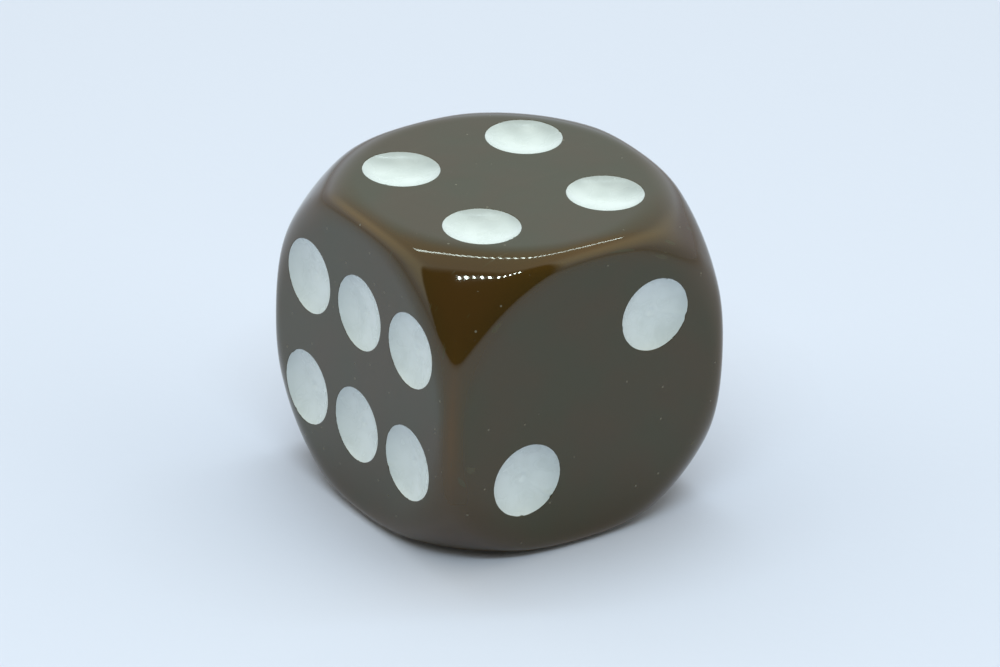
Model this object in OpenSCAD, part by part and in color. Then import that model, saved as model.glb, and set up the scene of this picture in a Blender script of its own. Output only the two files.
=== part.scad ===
// Six-sided gaming die, moulded in one piece, with round edges, ball-turned
// corners and 21 round recesses, each filled with its own dish of white paint.
// Opposite sides add up to seven. The die stands on its three-pip side, on
// z = 0, with the four-pip side up. The origin is the middle of that underside.

/* [Body] */
// Width across opposite flat sides
die_w = 16; // [10:0.5:25]
// Radius along the edges, as a share of the width
edge_share = 0.078; // [0.06:0.002:0.096]
// Distance across opposite corners, as a share of the width
corner_share = 1.396; // [1.38:0.002:1.42]

/* [Pips] */
// Diameter of a pip, as a share of the width
pip_share = 0.232; // [0.19:0.002:0.236]
// Spacing of the pips on the two, three, four and five sides, as a share
square_share = 0.438; // [0.36:0.002:0.45]
// Spacing of the pips along a row of the six side, as a share
row_share = 0.278; // [0.25:0.002:0.284]
// Spacing of the two rows of the six side, as a share
rows_share = 0.374; // [0.3:0.002:0.384]

/* [Recesses] */
// Depth of a recess at its middle, as a share of the width
recess_share = 0.04; // [0.032:0.002:0.052]
// Depth of the straight wall around a recess, as a share
wall_share = 0.009; // [0.006:0.001:0.014]
// Thickness of the paint at the middle of a recess, as a share
paint_share = 0.012; // [0.006:0.001:0.018]
// Depth of the paint's edge below the flat side, as a share
paint_edge_share = 0.002; // [0.001:0.001:0.004]

/* [Hidden] */
$fn = 96;
half = die_w / 2;
edge_r = die_w * edge_share;
ball_r = die_w * corner_share / 2;
pip_r = die_w * pip_share / 2;
square_half = die_w * square_share / 2;
row_step = die_w * row_share;
rows_half = die_w * rows_share / 2;
recess_depth = die_w * recess_share;
wall_depth = die_w * wall_share;
paint_depth = recess_depth - die_w * paint_share;
paint_edge = die_w * paint_edge_share;

// Middle of the arc that joins a flat side to the ball-turned corners
rim_z = half - edge_r;
rim_r = sqrt(pow(ball_r - edge_r, 2) - pow(rim_z, 2));
// The arc is this much larger than a true tangent one, for a clean seam
seam = die_w * 0.0005;

ONE = [[0, 0]];
TWO = [[-square_half, -square_half], [square_half, square_half]];
THREE = concat(TWO, ONE);
FOUR = [for (u = [-1, 1]) for (v = [-1, 1]) [u * square_half, v * square_half]];
FIVE = concat(FOUR, ONE);
SIX = [for (v = [1, -1]) for (u = [-1, 0, 1]) [u * row_step, v * rows_half]];

// Each side: its name, the turn that brings it there from the top, its pips
SIDES = [
    ["four", [0, 0, 0], FOUR],
    ["three", [180, 0, 0], THREE],
    ["two", [90, 0, 0], TWO],
    ["five", [90, 0, 180], FIVE],
    ["six", [90, 0, -90], SIX],
    ["one", [90, 0, 90], ONE]
];
function pip_name(side, pip) = str("pip_", side[0], "_", pip + 1);

// Radius of the ball that cuts a dish of this depth, as wide as a pip
function dish_r(depth) = (pow(pip_r, 2) + pow(depth, 2)) / (2 * depth);

// Square bar along Z with round edges, longer than the die
module round_bar() {
    flat = 2 * rim_z;
    linear_extrude(2 * die_w, center = true)
        union() {
            square([die_w, flat], center = true);
            square([flat, die_w], center = true);
            for (x = [-rim_z, rim_z], y = [-rim_z, rim_z])
                translate([x, y]) circle(edge_r);
        }
}

// What has to come off around the top side, between its flat and the corners
module rim_waste() {
    rotate_extrude()
        difference() {
            polygon([
                [rim_r, rim_z],
                [rim_r, die_w],
                [2 * rim_r, die_w],
                [2 * rim_r, 2 * rim_z]
            ]);
            translate([rim_r, rim_z]) circle(edge_r + seam);
        }
}

// The space of one recess, with its mouth at z = 0 and room above it
module recess() {
    cap_r = dish_r(recess_depth - wall_depth);
    rotate_extrude()
        union() {
            translate([0, -wall_depth]) square([pip_r, wall_depth + edge_r]);
            intersection() {
                translate([0, cap_r - recess_depth]) circle(cap_r);
                translate([0, -recess_depth]) square([pip_r, recess_depth - wall_depth]);
            }
        }
}

// One dish of paint: what lies in a recess below the paint's hollow face
module dish() {
    face_r = dish_r(paint_depth - paint_edge);
    difference() {
        recess();
        translate([0, 0, face_r - paint_depth]) sphere(face_r);
        translate([0, 0, half - paint_edge]) cube(die_w, center = true);
    }
}

// Brings what is drawn for the top side, from the die's middle, to another side
module on_side(side) {
    translate([0, 0, half]) rotate(side[1]) children();
}

// Brings what is drawn around the mouth of a recess to one pip of a side
module on_pip(side, pip) {
    at = side[2][pip];
    on_side(side) translate([at[0], at[1], half]) children();
}

module body() {
    color("#3b2413")
        difference() {
            translate([0, 0, half])
                intersection() {
                    round_bar();
                    rotate([90, 0, 0]) round_bar();
                    rotate([0, 90, 0]) round_bar();
                    sphere(ball_r);
                }
            for (side = SIDES) on_side(side) rim_waste();
            for (side = SIDES, pip = [0 : len(side[2]) - 1]) on_pip(side, pip) recess();
        }
}

module pip_paint(side, pip) {
    color("#dfe6e4") on_pip(side, pip) dish();
}

body();
for (side = SIDES, pip = [0 : len(side[2]) - 1])
    pip_paint(side, pip);
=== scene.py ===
"""Looks of the gaming die: a smooth moulded body, 21 dishes of paint, their
materials, and a small white light tent around them."""
import math

import bpy
import numpy as np
from mathutils import Matrix, Vector, geometry, noise


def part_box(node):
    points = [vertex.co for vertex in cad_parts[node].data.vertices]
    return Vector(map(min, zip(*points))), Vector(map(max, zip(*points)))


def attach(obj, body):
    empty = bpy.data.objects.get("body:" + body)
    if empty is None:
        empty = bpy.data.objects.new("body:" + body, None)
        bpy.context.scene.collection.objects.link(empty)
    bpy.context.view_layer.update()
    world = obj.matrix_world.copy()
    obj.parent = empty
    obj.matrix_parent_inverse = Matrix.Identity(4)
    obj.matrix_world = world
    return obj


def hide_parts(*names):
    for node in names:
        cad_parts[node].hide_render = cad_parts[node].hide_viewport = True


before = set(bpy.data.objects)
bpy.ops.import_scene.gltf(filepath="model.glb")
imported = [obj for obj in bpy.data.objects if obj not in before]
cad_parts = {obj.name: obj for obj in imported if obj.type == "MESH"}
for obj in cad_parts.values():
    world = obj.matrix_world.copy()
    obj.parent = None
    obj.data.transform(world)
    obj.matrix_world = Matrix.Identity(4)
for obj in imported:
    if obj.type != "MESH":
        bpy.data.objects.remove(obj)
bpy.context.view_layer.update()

MM = 0.001

# ---------------------------------------------------------------- sizes
LOW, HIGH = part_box("body")
WIDTH = HIGH.z - LOW.z
HALF = WIDTH / 2
CENTRE = (LOW + HIGH) / 2
EDGE_R = WIDTH * 0.0601      # how far in from the edges the rounding sets in
CORE = HALF - EDGE_R
BALL_R = WIDTH * 0.6525      # radius at which the ball-turned corners set in
BALL_SOFT = WIDTH * 0.05     # how far beyond it the skin may reach at most
FLAT_R = math.sqrt(BALL_R ** 2 - HALF ** 2)
RIM_R = WIDTH * 0.4625       # circle around all pips of a side, where its rim starts
ABOVE = HALF * 1.01          # a height just above the skin
OUTSIDE = 1.2                # takes any point of the skin well outside it

PIP_NODES = sorted(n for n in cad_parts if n.startswith("pip_"))
PIP_R = (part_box("pip_four_1")[1].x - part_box("pip_four_1")[0].x) / 2
RECESS = WIDTH * 0.04        # depth of a recess
WALL = WIDTH * 0.009         # its straight wall
LIP_R = 0.05 * MM            # round lip at its mouth

# the paint's hollow face
PAINT_DEPTH = WIDTH * 0.028  # its lowest point
PAINT_EDGE = 0.016 * MM      # depth of its edge
PAINT_GAP = 0.002 * MM       # between the paint and the recess below it
STEEPER = 0.30               # share of its depth that it gains close to its edge
MARK_DEPTH = 0.036 * MM      # mark that a drill left in its middle
MARK_R = 0.15 * MM
RING_HEIGHT = 0.012 * MM     # low ring around the mark
RING_R = 0.28 * MM
RING_SPREAD = 0.07 * MM
WAVE_HEIGHT = 0.014 * MM     # unevenness where the paint pooled
WAVE_LENGTH = 1.1 * MM
OVERLAP = 0.014 * MM         # how far its edge creeps past the recess's wall
RAGGED = 0.012 * MM          # how much that edge wanders
RAGGED_WAVES = 9.0           # how quickly, on a circle of radius 1
NICK_DEPTH = 0.9 * MM        # depth of a full nick in it
NICK_RARITY = 0.42           # share of the noise below which there are no nicks
NICK_WAVES = 3.1             # how closely the nicks come
CHIP_WAVES = 14.0            # how small the chips within a nick are
CHIP_SHARE = 0.1

# painted shade on one flank and near the rim of each dish, and a painted glint in the middle of flat
# ones, as shares
SHADE_WAY = Vector((0.72, 0.66, 0.20))   # the way towards the flank of each dish that gets painted shade
BASE_SHADE = 0.3                # painted shade everywhere but where the glint is painted
UPRIGHT_SHADE = 0.30           # how much painted shade a dish on an upright side gets, next to a flat one
FLANK_START = 0.10
FLANK_SHADE = 0.95
RIM_SHADE = 0.30
GLINT_R = 0.09                # where a glint is painted in the drill's mark
PATCH = 0.9 * MM             # size of the patches in the painted shade on the flank
PATCHY = 0.7
STREAK = 0.16 * MM           # size of the streaks in the painted glint
STREAKY = 0.8

# how finely the round surfaces are cut
AROUND = 192                 # steps around each side
ACROSS = 24                  # steps from a flat side to the middle of an edge
PIP_STEPS = 96               # steps around each pip
LIP_STEPS = 4                # steps over the lip of a recess
BOWL_STEPS = 6               # steps from a recess's wall to its middle
PAINT_STEPS = 30             # steps from the middle of the paint to its edge
GRID = 0.8 * MM              # spacing of the points between the pips
FALL_RINGS = (0.0, 0.3, 0.55, 0.75, 0.9)   # rings of points where a flat side starts to fall
HALVINGS = 40                # rounds of the search for the skin
SAME = 1e-4 * MM             # points closer than this are one point
POINT_R = 1e-9               # a ring smaller than this is a single point
CREASE = math.radians(50)    # edges of the paint sharper than this stay sharp


# ---------------------------------------------------------------- meshes
def new_mesh_object(name, points, faces, normals=None):
    """A smooth-shaded mesh in the scene."""
    mesh = bpy.data.meshes.new(name)
    mesh.from_pydata([tuple(p) for p in points], [], faces)
    mesh.polygons.foreach_set("use_smooth", [True] * len(mesh.polygons))
    if normals is not None:
        mesh.normals_split_custom_set_from_vertices([tuple(n) for n in normals])
    mesh.update()
    thing = bpy.data.objects.new(name, mesh)
    bpy.context.scene.collection.objects.link(thing)
    return thing


class Skin:
    """Points, normals and faces of one closed skin; points that meet are shared."""

    def __init__(self):
        self.points, self.normals, self.faces, self.seen = [], [], [], {}

    def point(self, place, normal):
        key = tuple(round(c / SAME) for c in place)
        if key not in self.seen:
            self.seen[key] = len(self.points)
            self.points.append(tuple(place))
            self.normals.append(tuple(normal))
        return self.seen[key]

    def face(self, corners):
        corners = list(dict.fromkeys(corners))
        if len(corners) > 2:
            self.faces.append(corners)

    def strip(self, ring_a, ring_b):
        """Faces between two closed rings of equal length, or a ring and one point."""
        n = max(len(ring_a), len(ring_b))
        for i in range(n):
            j = (i + 1) % n
            a = [ring_a[k % len(ring_a)] for k in (i, j)]
            b = [ring_b[k % len(ring_b)] for k in (i, j)]
            self.face([a[0], a[1], b[1], b[0]])


def overshoot(points):
    """How far points lie beyond the core cube and beyond the corners' ball, as shares."""
    reach = np.linalg.norm(points, axis=1)[:, None]
    cube = np.maximum(np.abs(points) - CORE, 0) / EDGE_R
    ball = np.maximum(reach - BALL_R, 0) / BALL_SOFT
    return cube, ball, reach


def worn_skin(inner, outer):
    """Where the ways from inner to outer points cross the skin, and its normals there.

    The tumbled skin is where the cubes of all the overshoots add up to one, so that
    flats, edges and corners run into each other with no line between them.
    """
    low, high = np.zeros((len(inner), 1)), np.ones((len(inner), 1))
    for _ in range(HALVINGS):
        middle = (low + high) / 2
        cube, ball, _ = overshoot(inner + (outer - inner) * middle)
        inside = (cube ** 3).sum(1, keepdims=True) + ball ** 3 <= 1
        low = np.where(inside, middle, low)
        high = np.where(inside, high, middle)
    points = inner + (outer - inner) * high
    cube, ball, reach = overshoot(points)
    normals = np.sign(points) * cube ** 2 / EDGE_R + ball ** 2 / BALL_SOFT * points / reach
    return points, normals / np.linalg.norm(normals, axis=1)[:, None]


def skin_above(flat):
    """The top side's skin straight above points given in its plane."""
    flat = np.array(flat)
    inner = np.column_stack([flat, np.full(len(flat), CORE)])
    outer = np.column_stack([flat, np.full(len(flat), ABOVE)])
    return worn_skin(inner, outer)


def edge_glow_shares(points):
    """How far each point is turned towards an edge, and towards a corner, from 0 to 1: where a
    lighter, warmer brown is painted in for the glow of light through the edges and corners.
    """
    _, normals = worn_skin(np.zeros_like(points), points * OUTSIDE)
    least, second, _ = np.sort(np.abs(normals), axis=1).T
    return (second - least) / math.sqrt(1 / 2), least / math.sqrt(1 / 3)


def side_turn(normal):
    """Turn that brings +Z to a side's outward normal."""
    return Vector((0, 0, 1)).rotation_difference(Vector(normal)).to_matrix()


def side_rings():
    """Rings around the top side, from the circle around its pips to the edges' middle."""
    angle = np.arange(AROUND) * 2 * math.pi / AROUND
    way = np.stack([np.cos(angle), np.sin(angle)], 1)
    reach = 1 / np.abs(way).max(1)
    run = HALF * reach - RIM_R
    for step in range(ACROSS + 1):
        far = EDGE_R * np.tan(step / ACROSS * np.arctan(run / EDGE_R))
        flat = way * (RIM_R + far)[:, None]
        cube = np.column_stack([flat, np.full(AROUND, HALF)])
        yield worn_skin(np.zeros_like(cube), cube)


def recess_profile():
    """Radius, height and normal (radial, up) down from the flat to a recess's middle."""
    for step in range(LIP_STEPS + 1):
        a = step / LIP_STEPS * math.pi / 2
        radial, up = math.sin(a), math.cos(a)
        yield PIP_R + LIP_R * (1 - radial), LIP_R * (up - 1), -radial, up
    bowl = RECESS - WALL
    bowl_r = (PIP_R ** 2 + bowl ** 2) / (2 * bowl)
    most = math.asin(PIP_R / bowl_r)
    for step in range(BOWL_STEPS + 1):
        a = most * (1 - step / BOWL_STEPS)
        yield bowl_r * math.sin(a), bowl_r * (1 - math.cos(a)) - RECESS, -math.sin(a), math.cos(a)


def circle(centre, radius, steps):
    """Points around a circle in a side's own plane."""
    return [(centre[0] + radius * math.cos(2 * math.pi * i / steps),
             centre[1] + radius * math.sin(2 * math.pi * i / steps)) for i in range(steps)]


def pip_places():
    """Each pip node with its side's normal, and its middle in that side's own plane."""
    places = []
    for node in PIP_NODES:
        low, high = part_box(node)
        middle = (low + high) / 2 - CENTRE
        axis = max(range(3), key=lambda i: abs(middle[i]) * (high[i] - low[i] < PIP_R))
        normal = Vector((0, 0, 0))
        normal[axis] = math.copysign(1, middle[axis])
        flat = side_turn(normal).inverted() @ middle
        places.append((node, normal, (flat.x, flat.y)))
    return places


def build_recess(skin, put, middle):
    """One recess, from its lip on the skin down to its middle; gives its mouth's ring."""
    profile = list(recess_profile())
    mouth = circle(middle, profile[0][0], PIP_STEPS)
    rim, rim_normals = skin_above(mouth)
    rings = []
    for number, (radius, height, radial, up) in enumerate(profile):
        ring = []
        for i in range(PIP_STEPS if radius > POINT_R else 1):
            way = Vector((*circle((0, 0), 1, PIP_STEPS)[i], 0))
            place = Vector((*middle, HALF)) + way * radius
            upward = Vector((0, 0, 1))
            if number <= LIP_STEPS:
                place.z = rim[i][2]
                upward = Vector(rim_normals[i])
            place.z += height
            ring.append(put(place, (upward * up + way * radial).normalized()))
        rings.append(ring)
    for outer, inner in zip(rings, rings[1:]):
        skin.strip(outer, inner)
    return mouth, rings[0]


def build_body(places):
    """The whole body: six sides that share the points where they meet."""
    skin = Skin()
    rings = list(side_rings())
    for axis in range(3):
        for sign in (1, -1):
            normal = Vector((0, 0, 0))
            normal[axis] = sign
            build_side(skin, rings, normal, [m for _, n, m in places if n == normal])
    return skin


def build_side(skin, rings, normal, middles):
    """One side: its rounded rim and edges, its recesses, and the face between them."""
    turn = side_turn(normal)

    def put(place, way):
        return skin.point(turn @ Vector(place) + CENTRE, turn @ Vector(way))

    ids = [[put(p, n) for p, n in zip(*ring)] for ring in rings]
    for inner, outer in zip(ids, ids[1:]):
        skin.strip(outer, inner)
    outline = [tuple(p[:2]) for p in rings[0][0]]
    loops = [(outline, ids[0])] + [build_recess(skin, put, middle) for middle in middles]
    fill_side(skin, put, loops, middles)


def fill_side(skin, put, loops, middles):
    """Faces on the skin inside the first loop and outside the others."""
    points, known, edges = [], [], []
    for loop, ids in loops:
        first = len(points)
        points += loop
        known += ids
        edges += [(first + i, first + (i + 1) % len(loop)) for i in range(len(loop))]
    points = [Vector(p) for p in points + grid_points(middles)]
    inside_only = 1
    merge_at = 1e-9
    points, _, faces, sources, *_ = geometry.delaunay_2d_cdt(points, edges, [], inside_only, merge_at)
    places, normals = skin_above([tuple(p) for p in points])
    ids = []
    for source, place, normal in zip(sources, places, normals):
        seen = [known[i] for i in source if i < len(known)]
        ids.append(seen[0] if seen else put(place, normal))
    mouths = [set(mouth) for _, mouth in loops[1:]]
    for face in faces:
        corners = [ids[i] for i in face]
        if not any(mouth.issuperset(corners) for mouth in mouths):
            skin.face(corners)


def grid_points(middles):
    """Points between the pips, on a grid and on circles where the skin starts to fall."""
    span = range(-int(FLAT_R / GRID), int(FLAT_R / GRID) + 1)
    places = [(i * GRID, j * GRID) for i in span for j in span]
    places = [p for p in places if math.hypot(*p) < FLAT_R - GRID / 3]
    for share in FALL_RINGS:
        places += circle((0, 0), FLAT_R + (RIM_R - FLAT_R) * share, AROUND)
    clear = PIP_R + LIP_R + GRID / 8
    return [p for p in places if all(math.dist(p, m) > clear for m in middles)]


def paint_height(part, angle, seed):
    """Height of the paint's hollow face at a share of its radius."""
    bowl = (1 - STEEPER) * part ** 2 + STEEPER * part ** 6
    height = -PAINT_DEPTH + (PAINT_DEPTH - PAINT_EDGE) * bowl
    r = part * PIP_R
    height -= MARK_DEPTH * math.exp(-(r / MARK_R) ** 2)
    height += RING_HEIGHT * math.exp(-((r - RING_R) / RING_SPREAD) ** 2)
    own = seed * 7.31 * MM       # each pip has its own stretch of the noise
    at = Vector((r * math.cos(angle), r * math.sin(angle), own)) / WAVE_LENGTH
    height += WAVE_HEIGHT * noise.noise(at) * (1 - part ** 6)
    return height


def paint_edge(angle, seed):
    """How far the paint's edge lies from the pip's middle, with a few small nicks."""
    own = seed * 1.7             # each pip has its own stretch of the noise
    way = Vector((math.cos(angle), math.sin(angle), own))
    rough = noise.noise(way * RAGGED_WAVES)
    nick = max(0, noise.noise(way * NICK_WAVES) - NICK_RARITY)
    chip = max(0, noise.noise(way * CHIP_WAVES) + CHIP_SHARE)
    return PIP_R + OVERLAP + RAGGED * rough - NICK_DEPTH * nick * chip


def paint_shading(place, middle, normal):
    """Painted shading on the paint: painted shade on one flank and near the rim, and a painted glint
    in the drill mark of a dish that lay flat.
    """
    way = (place - middle) / PIP_R
    flat = abs(normal.z)
    # painted shade on one flank, weaker on upright sides; a painted glint in the middle of flat
    # dishes; painted shade near the rim
    flank = max(0, way.dot(SHADE_WAY) + FLANK_START) * (UPRIGHT_SHADE + (1 - UPRIGHT_SHADE) * flat)
    patchy = 1 + PATCHY * noise.noise(place / PATCH)
    streaky = 1 + STREAKY * noise.noise(place / STREAK)
    glint = flat * streaky * math.exp(-((way.length - GLINT_R) / GLINT_R) ** 2)
    run = min(1, RIM_SHADE * way.length ** 4 + FLANK_SHADE * flank * patchy)
    return BASE_SHADE * max(0, 1 - glint) + (1 - BASE_SHADE) * run


def paint_face(put, middle, seed):
    """Rings of points on the paint's hollow face, from its middle to its ragged edge."""
    unit = circle((0, 0), 1, PIP_STEPS)
    rim, _ = skin_above(circle(middle, PIP_R, PIP_STEPS))
    rings = []
    for step in range(PAINT_STEPS + 1):
        share = math.sin(step / PAINT_STEPS * math.pi / 2)
        ring = []
        for i in range(PIP_STEPS if step else 1):
            angle = 2 * math.pi * i / PIP_STEPS
            r = share * paint_edge(angle, seed)
            fall = (HALF - rim[i][2]) * share ** 4
            ring.append(put(r * unit[i][0], r * unit[i][1], paint_height(share, angle, seed) - fall))
        rings.append(ring)
    return rings


def paint_underside(put):
    """Rings of points under the paint, which follow the recess just clear of it."""
    unit = circle((0, 0), 1, PIP_STEPS)
    rings = []
    for radius, height, _, _ in list(recess_profile())[LIP_STEPS:]:
        r = max(radius - PAINT_GAP, 0)
        ways = unit if radius > POINT_R else unit[:1]
        rings.append([put(r * x, r * y, height + PAINT_GAP) for x, y in ways])
    return rings


def build_paint(normal, middle, seed):
    """One dish of paint: its closed skin, and its painted shade and glint at each point."""
    skin = Skin()
    turn = side_turn(normal)

    def put(x, y, z):
        place = turn @ Vector((middle[0] + x, middle[1] + y, HALF + z))
        return skin.point(place + CENTRE, normal)

    face = paint_face(put, middle, seed)
    under = paint_underside(put)
    for inner, outer in zip(face, face[1:]):
        skin.strip(outer, inner)
    skin.strip(under[0], face[-1])
    for outer, inner in zip(under, under[1:]):
        skin.strip(inner, outer)
    mouth = turn @ Vector((*middle, HALF))
    return skin, [paint_shading(Vector(p) - CENTRE, mouth, normal) for p in skin.points]


# ---------------------------------------------------------------- materials
def new_material(name):
    """A new material, with its node tree, its shader and its own coordinates in metres."""
    material = bpy.data.materials.new(name)
    material.use_nodes = True
    tree = material.node_tree
    where = add(tree, "ShaderNodeTexCoord").outputs["Object"]
    return material, tree, tree.nodes["Principled BSDF"], where


def add(tree, kind, **settings):
    """A new node with its settings, and its inputs' values from a dictionary."""
    node = tree.nodes.new(kind)
    inputs = settings.pop("inputs", {})
    for key, value in settings.items():
        setattr(node, key, value)
    for key, value in inputs.items():
        node.inputs[key].default_value = value
    return node


def attribute(tree, name):
    """A value that the mesh holds at each point."""
    return add(tree, "ShaderNodeAttribute", attribute_name=name).outputs["Fac"]


def calc(tree, operation, *values):
    """A sum on plain numbers and sockets."""
    node = add(tree, "ShaderNodeMath", operation=operation)
    for socket, value in zip(node.inputs, values):
        if isinstance(value, float):
            socket.default_value = value
        else:
            tree.links.new(value, socket)
    return node.outputs["Value"]


def share_of(tree, value, start, end, kind="LINEAR"):
    """From 0 at start to 1 at end, and no further."""
    node = add(tree, "ShaderNodeMapRange", interpolation_type=kind,
               inputs={"From Min": start, "From Max": end})
    tree.links.new(value, node.inputs["Value"])
    return node.outputs["Result"]


def mixed(tree, share, low, high):
    """Mix of two colours or two numbers, each a constant or a socket."""
    plain = isinstance(low, float) or isinstance(high, float)
    node = add(tree, "ShaderNodeMix", data_type="FLOAT" if plain else "RGBA")
    tree.links.new(share, node.inputs["Factor"])
    sockets = node.inputs[2:4] if plain else node.inputs[6:8]
    for socket, value in zip(sockets, (low, high)):
        if isinstance(value, float):
            socket.default_value = value
        elif isinstance(value, tuple):
            socket.default_value = (*value, 1)
        else:
            tree.links.new(value, socket)
    return node.outputs[0] if plain else node.outputs[2]


def ramp(tree, value, low, high, start, end):
    """From low at start to high at end; colours or plain numbers."""
    return mixed(tree, share_of(tree, value, start, end), low, high)


def noise_of(tree, where, scale, detail=3.0):
    """Noise with a wave length of about 1 / scale, in metres."""
    inputs = {"Scale": scale, "Detail": detail, "Roughness": 0.55}
    node = add(tree, "ShaderNodeTexNoise", inputs=inputs)
    tree.links.new(where, node.inputs["Vector"])
    return node.outputs["Fac"]


def dots(tree, where, scale, radius, rarity):
    """Small round spots, one in a few of the cells of a scattered pattern, from 0 to 1."""
    cells = add(tree, "ShaderNodeTexVoronoi", inputs={"Scale": scale, "Randomness": 1.0})
    tree.links.new(where, cells.inputs["Vector"])
    near = share_of(tree, cells.outputs["Distance"], radius, radius / 2)
    pick = add(tree, "ShaderNodeSeparateColor")
    tree.links.new(cells.outputs["Color"], pick.inputs["Color"])
    rare = calc(tree, "GREATER_THAN", pick.outputs["Red"], rarity)
    return calc(tree, "MULTIPLY", near, rare)


def scratches(tree, where):
    """Fine hairline scratches in two directions, as 0 or 1."""
    found = []
    for turn, rarity in HAIRLINES:
        lie = add(tree, "ShaderNodeMapping", inputs={"Rotation": turn, "Scale": HAIRLINE_WAVES})
        tree.links.new(where, lie.inputs["Vector"])
        lines = noise_of(tree, lie.outputs["Vector"], scale=1.0, detail=1.0)
        found.append(calc(tree, "GREATER_THAN", lines, rarity))
    return calc(tree, "MAXIMUM", *found)


def bumped(tree, shader, layers):
    """Bumps from (height, depth in metres) layers, one on top of the other."""
    last = None
    for height, depth in layers:
        node = add(tree, "ShaderNodeBump", inputs={"Distance": depth})
        tree.links.new(height, node.inputs["Height"])
        if last:
            tree.links.new(last, node.inputs["Normal"])
        last = node.outputs["Normal"]
    tree.links.new(last, shader.inputs["Normal"])


OLIVE_BROWN = (0.0245, 0.0210, 0.0025)
RED_BROWN = (0.0330, 0.0182, 0.0008)
# painted glow: lighter, warmer browns for the edges and the corners, where light shines through the
# plastic
EDGE_GLOW_BROWN = (0.076, 0.0330, 0.0020)
CORNER_GLOW_BROWN = (0.047, 0.0200, 0.0020)
WORN_BROWN = (0.044, 0.034, 0.010)
PALE_DUST = (0.13, 0.12, 0.09)
WARM_GLOSS = (1.0, 0.98, 0.86)
PLASTIC_IOR = 1.62
POLISHED = 0.035             # roughness of the plastic, from its best to its worst
CLOUDED = 0.065
SCRATCHED = 0.22
DUSTY = 0.6
HAIRLINES = (((0.5, 0.3, 0.9), 0.735), ((1.3, 0.8, 2.3), 0.745))   # turn and rarity of each set
HAIRLINE_WAVES = (60.0, 6000.0, 900.0)    # waves per metre along, across and into them


def body_material():
    """Dark brown glossy plastic: cloudy, with a lighter, warmer brown painted along its edges and at
    its corners for the glow of light through them.
    """
    material, tree, shader, where = new_material("brown_plastic")
    clouds = noise_of(tree, where, scale=260.0)
    grain = noise_of(tree, where, scale=2600.0)
    specks = dots(tree, where, scale=1400.0, radius=0.100, rarity=0.70)
    pits = dots(tree, where, scale=2600.0, radius=0.080, rarity=0.60)
    hairlines = scratches(tree, where)

    tone = ramp(tree, clouds, OLIVE_BROWN, RED_BROWN, start=0.36, end=0.64)
    # painted glow: a lighter, warmer brown along the edges and, less warm, at the corners, standing
    # in for light that shines through the plastic there
    tone = mixed(tree, attribute(tree, "edge"), tone, EDGE_GLOW_BROWN)
    tone = mixed(tree, attribute(tree, "corner"), tone, CORNER_GLOW_BROWN)
    tone = mixed(tree, specks, tone, PALE_DUST)
    tone = mixed(tree, hairlines, tone, WORN_BROWN)
    tree.links.new(tone, shader.inputs["Base Color"])

    gloss = ramp(tree, clouds, POLISHED, CLOUDED, start=0.3, end=0.7)
    gloss = mixed(tree, hairlines, gloss, SCRATCHED)
    gloss = mixed(tree, specks, gloss, DUSTY)
    tree.links.new(gloss, shader.inputs["Roughness"])
    shader.inputs["IOR"].default_value = PLASTIC_IOR
    shader.inputs["Specular Tint"].default_value = (*WARM_GLOSS, 1)
    bumped(tree, shader, [(clouds, 0.010 * MM), (grain, 0.0008 * MM), (pits, -0.006 * MM)])
    return material


WHITE = (0.816, 0.887, 0.904)
GREY_WHITE = (0.723, 0.794, 0.804)
# painted shade on the paint
PAINTED_SHADE_WHITE = (0.430, 0.480, 0.490)
PIT_WHITE = (0.635, 0.700, 0.710)
GRIME = (0.10, 0.10, 0.09)
PAINT_IOR = 1.5
SATIN = 0.32                 # roughness of the paint, where it is dull and where it is glossy
GLOSSY = 0.18


def paint_material():
    """Satin off-white paint, unevenly toned, with painted shade on one flank and the rim of each
    dish, a painted glint in the middle of flat dishes, tiny pits and a few dark specks.
    """
    material, tree, shader, where = new_material("white_paint")
    pools = noise_of(tree, where, scale=900.0, detail=2.0)
    grain = noise_of(tree, where, scale=7000.0, detail=2.0)
    pits = dots(tree, where, scale=2600.0, radius=0.090, rarity=0.50)
    specks = dots(tree, where, scale=1400.0, radius=0.075, rarity=0.90)

    tone = ramp(tree, pools, GREY_WHITE, WHITE, start=0.30, end=0.56)
    # painted shade on one flank and the rim of each dish, and less of it where a glint is painted in
    # the middle of flat ones
    tone = mixed(tree, attribute(tree, "painted_shading"), tone, PAINTED_SHADE_WHITE)
    tone = mixed(tree, pits, tone, PIT_WHITE)
    tone = mixed(tree, specks, tone, GRIME)
    tree.links.new(tone, shader.inputs["Base Color"])

    gloss = ramp(tree, pools, SATIN, GLOSSY, start=0.35, end=0.65)
    tree.links.new(gloss, shader.inputs["Roughness"])
    shader.inputs["IOR"].default_value = PAINT_IOR
    bumped(tree, shader, [(pools, 0.012 * MM), (grain, 0.0012 * MM), (pits, -0.006 * MM)])
    return material


PAPER = (0.635, 0.675, 0.815)
PAPER_ROUGHNESS = 0.9
PAPER_SHEEN = 0.1


def floor_material():
    """Plain pale studio paper with a barely visible fibre grain."""
    material, tree, shader, where = new_material("studio_paper")
    fibres = noise_of(tree, where, scale=1500.0)
    shader.inputs["Base Color"].default_value = (*PAPER, 1)
    shader.inputs["Roughness"].default_value = PAPER_ROUGHNESS
    shader.inputs["Specular IOR Level"].default_value = PAPER_SHEEN
    bumped(tree, shader, [(fibres, 0.01 * MM)])
    return material


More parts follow.
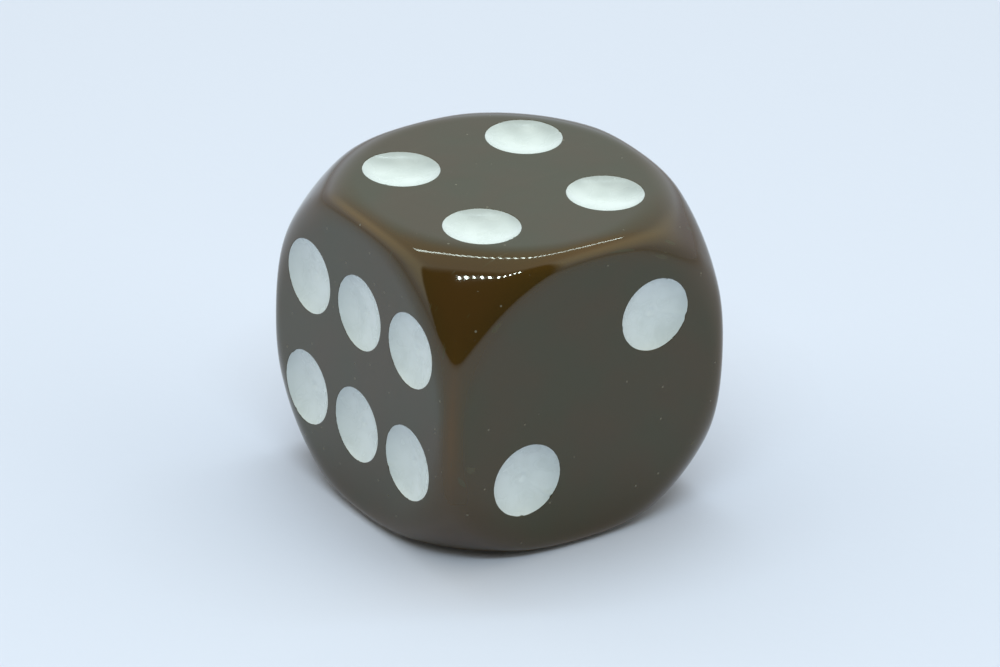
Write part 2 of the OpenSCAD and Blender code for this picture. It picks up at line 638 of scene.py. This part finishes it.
# ---------------------------------------------------------------- the camera
HEADING = math.radians(34.24)    # the way the camera looks, from +Y towards +X
PITCH = math.radians(27.45)      # how far down it looks
ROLL = math.radians(1.87)
DISTANCE = 376 * MM
AIM_RIGHT = 0.086 * MM           # how far beside and below the die's middle it aims
AIM_DOWN = 0.166 * MM
LENS = 281.9                     # focal length, in the sensor's own millimetres
SENSOR = 36
AHEAD = Vector((math.sin(HEADING), math.cos(HEADING), 0))
RIGHT = Vector((math.cos(HEADING), -math.sin(HEADING), 0))
UP = Vector((0, 0, 1))


def add_camera():
    """The camera, at the photograph's angle."""
    view = AHEAD * math.cos(PITCH) - UP * math.sin(PITCH)
    up = RIGHT.cross(view)
    right = RIGHT * math.cos(ROLL) + up * math.sin(ROLL)
    up = right.cross(view)
    aim = CENTRE + AIM_RIGHT * right - AIM_DOWN * up
    data = bpy.data.cameras.new("camera")
    data.lens = LENS
    data.sensor_width = SENSOR
    data.clip_start = 0.01
    data.clip_end = 20
    camera = bpy.data.objects.new("camera", data)
    bpy.context.scene.collection.objects.link(camera)
    turn = Matrix((right, up, -view)).transposed().to_4x4()
    camera.matrix_world = Matrix.Translation(aim - view * DISTANCE) @ turn
    bpy.context.scene.camera = camera


# ---------------------------------------------------------------- the light tent
LOW_BACK = (1.00, 1.12, 1.28)
LOW_SIDE = (0.76, 0.84, 0.93)
HIGH_BACK = (0.75, 0.84, 0.84)
HIGH_SIDE = (1.36, 1.34, 1.10)
ROOF = (0.93, 0.86, 0.70)
HORIZON = (0.59, 0.63, 0.69)     # as bright as the floor far away
MOUTH = (0.18, 0.16, 0.10)
MOUTH_SHIFT = 0.28               # how far the tent's mouth lies to the left, and its
MOUTH_EDGE = (2.0, 1.6)          # edges, as slopes from the middle of its front
MOUTH_TOP = (2.6, 1.5)
SIDES = (0.45, 0.80)             # where the back turns into the sides
RISE = (0.0, 0.55)               # where low turns into high
TOP = (0.62, 0.96)               # where high turns into the roof
HAZE = (0.0, 0.22)               # where the horizon's light ends
NEAR_ZERO = 0.001


def add_world():
    """Light by direction: pale walls, which differ low and high, a roof, and a dim open front."""
    world = bpy.data.worlds.new("tent")
    bpy.context.scene.world = world
    world.use_nodes = True
    tree = world.node_tree
    where = add(tree, "ShaderNodeTexCoord").outputs["Generated"]

    def along(way):
        node = add(tree, "ShaderNodeVectorMath", operation="DOT_PRODUCT")
        node.inputs[1].default_value = way
        tree.links.new(where, node.inputs[0])
        return node.outputs["Value"]

    def ease(value, limits):
        return share_of(tree, value, *limits, kind="SMOOTHSTEP")

    up = along(UP)
    right = along(RIGHT)
    front = calc(tree, "MAXIMUM", along(-AHEAD), NEAR_ZERO)
    slope = calc(tree, "ADD", calc(tree, "DIVIDE", right, front), MOUTH_SHIFT)
    across = ease(calc(tree, "ABSOLUTE", slope), MOUTH_EDGE)
    mouth = calc(tree, "MULTIPLY", across, ease(calc(tree, "DIVIDE", up, front), MOUTH_TOP))
    side = ease(calc(tree, "ABSOLUTE", right), SIDES)
    low = mixed(tree, side, LOW_BACK, LOW_SIDE)
    high = mixed(tree, side, HIGH_BACK, HIGH_SIDE)
    light = mixed(tree, ease(up, RISE), low, high)
    light = mixed(tree, ease(up, TOP), light, ROOF)
    light = mixed(tree, ease(up, HAZE), HORIZON, light)
    light = mixed(tree, mouth, light, MOUTH)
    tree.links.new(light, tree.nodes["Background"].inputs["Color"])


ABOVE_AHEAD = 52 * MM            # the lamps above the die, just beyond it
FRONT_AHEAD = -137 * MM          # the lamps between the die and the camera
STRIP_HEIGHT = 200 * MM
SOFT_SIZE = 120 * MM
SOFT_DISTANCE = 300 * MM
LAMP_COLOR = (0.80, 0.96, 1.0)


def add_lamp(name, data, place, turn):
    """One lamp that the camera doesn't see."""
    lamp = bpy.data.objects.new(name, data)
    lamp.matrix_world = Matrix.Translation(place) @ turn
    lamp.visible_camera = False
    bpy.context.scene.collection.objects.link(lamp)
    return lamp


def lamp_data(name, size, energy):
    """A flat lamp of a width and a length."""
    data = bpy.data.lights.new(name, "AREA")
    data.shape = "RECTANGLE"
    data.size, data.size_y = size
    data.energy = energy
    data.color = LAMP_COLOR
    return data


def add_strip(name, ahead, slant, start, gap, count, size, energy):
    """A straight row of small lamps, at an angle to the view, aimed at the die."""
    data = lamp_data(name, size, energy)
    row = RIGHT + AHEAD * slant
    for number in range(count):
        way = AHEAD * ahead + row * (start + gap * number) + UP * STRIP_HEIGHT
        back = way.normalized()
        side = (row - back * row.dot(back)).normalized()
        turn = Matrix((side, back.cross(side), back)).transposed().to_4x4()
        add_lamp(f"{name}_{number}", data, CENTRE + way, turn)


def add_soft_lamp(name, ahead, energy):
    """A large soft lamp over a strip, which lights the die but isn't seen in its gloss."""
    way = (AHEAD * ahead + UP * STRIP_HEIGHT).normalized()
    turn = (-way).to_track_quat("-Z", "Y").to_matrix().to_4x4()
    data = lamp_data(name, (SOFT_SIZE, SOFT_SIZE), energy)
    lamp = add_lamp(name, data, CENTRE + way * SOFT_DISTANCE, turn)
    lamp.visible_glossy = False


def add_lamps():
    """The two rows that show in the gloss, and the soft lamp over each of them."""
    add_strip("lamp_above", ABOVE_AHEAD, slant=0.17, start=-96 * MM, gap=6 * MM, count=39,
              size=(2.2 * MM, 13 * MM), energy=0.0022)
    add_strip("lamp_front", FRONT_AHEAD, slant=0.13, start=-84 * MM, gap=16.5 * MM, count=10,
              size=(3.0 * MM, 10 * MM), energy=0.0140)
    add_soft_lamp("soft_above", ABOVE_AHEAD, energy=0.095)
    add_soft_lamp("soft_front", FRONT_AHEAD, energy=0.105)


FLOOR_REACH = 1.5                # metres from the die to the floor's edges


def add_floor():
    """A plain floor under the die."""
    corners = [(x * FLOOR_REACH, y * FLOOR_REACH, 0) for x, y in ((-1, -1), (1, -1), (1, 1), (-1, 1))]
    floor = new_mesh_object("floor", corners, [(0, 1, 2, 3)])
    floor.data.materials.append(floor_material())


# ---------------------------------------------------------------- make it
def add_values(thing, name, values):
    """Gives a mesh one value at each of its points, for its material."""
    thing.data.attributes.new(name, "FLOAT", "POINT").data.foreach_set("value", values)


def add_body(places):
    """The moulded body, in place of its CAD node."""
    skin = build_body(places)
    body = new_mesh_object("die_body", skin.points, skin.faces, skin.normals)
    # shares that say where the painted glow of the edges and corners goes
    edge, corner = edge_glow_shares(np.array(skin.points) - np.array(CENTRE))
    add_values(body, "edge", edge)
    add_values(body, "corner", corner)
    body.data.materials.append(body_material())
    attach(body, "root")
    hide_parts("body")


def add_paint(places):
    """The dishes of paint, each in place of its CAD node."""
    paint = paint_material()
    for seed, (node, normal, middle) in enumerate(places):
        skin, painted_shading = build_paint(normal, middle, seed)
        piece = new_mesh_object("paint_" + node, skin.points, skin.faces)
        # painted shade and glint at each point, for the paint's material
        add_values(piece, "painted_shading", painted_shading)
        piece.data.set_sharp_from_angle(angle=CREASE)
        piece.data.materials.append(paint)
        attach(piece, "root")
        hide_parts(node)


bpy.context.scene.view_settings.view_transform = "Standard"
places = pip_places()
add_body(places)
add_paint(places)
add_floor()
add_world()
add_lamps()
add_camera()
